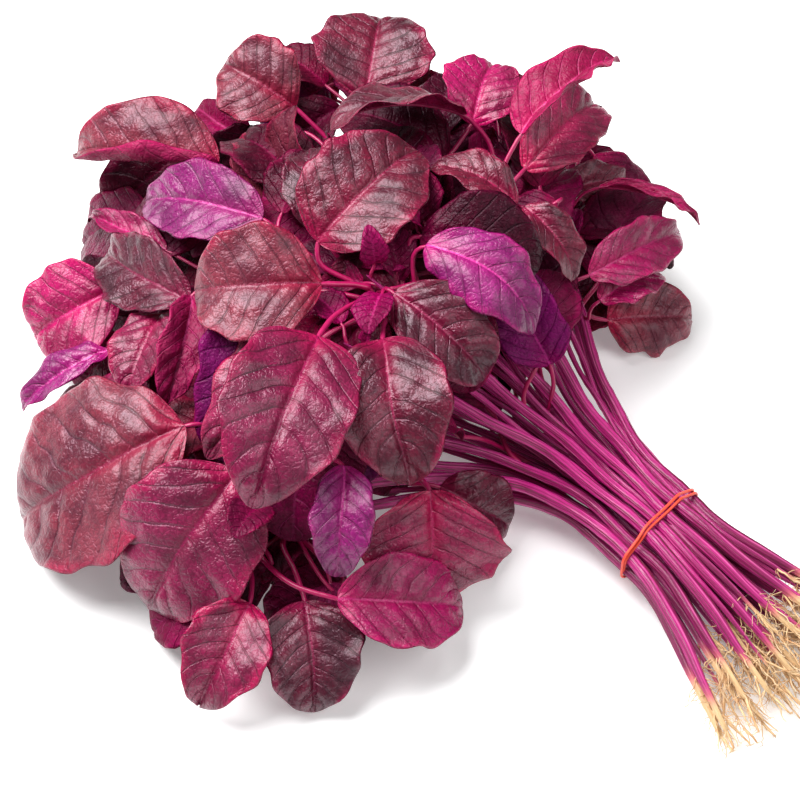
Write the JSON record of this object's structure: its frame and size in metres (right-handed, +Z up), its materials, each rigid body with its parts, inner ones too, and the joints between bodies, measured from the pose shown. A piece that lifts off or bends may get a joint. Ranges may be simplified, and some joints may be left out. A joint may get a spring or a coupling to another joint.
{
  "type": "bunch of red amaranth",
  "caption": "Lying bunch of young red amaranth plants with dark red leaves, magenta stems and pale roots, tied with a rubber band.",
  "frame": {"origin": "middle of the underside of the object's box, on the surface the bunch lies on", "axes": "+X from the leaves towards the roots, +Y across the bunch, +Z up"},
  "size_m": [0.3486, 0.3, 0.124],
  "materials": {
    "leaf_dark": "satin",
    "leaf_wine": "satin",
    "leaf_brown": "satin",
    "leaf_violet": "satin",
    "leaf_magenta": "satin",
    "stem": "satin",
    "root": "matte",
    "band": "satin"
  },
  "bodies": {
    "root": {"stem_01": "stem", "stem_02": "stem", "stem_03": "stem", "stem_04": "stem", "stem_05": "stem", "stem_06": "stem", "stem_07": "stem", "stem_08": "stem", "stem_09": "stem", "stem_10": "stem", "stem_11": "stem", "stem_12": "stem", "stem_13": "stem", "stem_14": "stem", "stem_15": "stem", "stem_16": "stem", "stem_17": "stem", "stem_18": "stem", "stem_19": "stem", "stem_20": "stem", "stem_21": "stem", "stem_22": "stem", "leaf_top_1": "leaf_wine", "leaf_top_2": "leaf_brown", "leaf_far_1": "leaf_brown", "leaf_top_3": "leaf_dark", "leaf_top_4": "leaf_magenta", "leaf_peak_1": "leaf_violet", "leaf_peak_2": "leaf_violet", "leaf_right_1": "leaf_dark", "leaf_right_2": "leaf_magenta", "leaf_right_3": "leaf_magenta", "leaf_right_4": "leaf_brown", "leaf_right_5": "leaf_magenta", "leaf_crown_1": "leaf_dark", "leaf_crown_2": "leaf_dark", "leaf_crown_3": "leaf_brown", "leaf_crown_4": "leaf_wine", "leaf_crown_5": "leaf_dark", "leaf_crown_6": "leaf_violet", "leaf_crown_7": "leaf_dark", "leaf_crown_8": "leaf_wine", "leaf_crown_9": "leaf_dark", "leaf_crown_10": "leaf_dark", "leaf_left_1": "leaf_violet", "leaf_left_2": "leaf_magenta", "leaf_left_3": "leaf_magenta", "leaf_left_4": "leaf_brown", "leaf_left_5": "leaf_wine", "leaf_left_6": "leaf_magenta", "leaf_left_7": "leaf_violet", "leaf_front_1": "leaf_brown", "leaf_front_2": "leaf_wine", "leaf_front_3": "leaf_wine", "leaf_front_4": "leaf_dark", "leaf_front_5": "leaf_magenta", "leaf_front_6": "leaf_violet", "leaf_front_7": "leaf_wine", "leaf_front_8": "leaf_dark", "rubber_band": "band"}
  },
  "joints": []
}
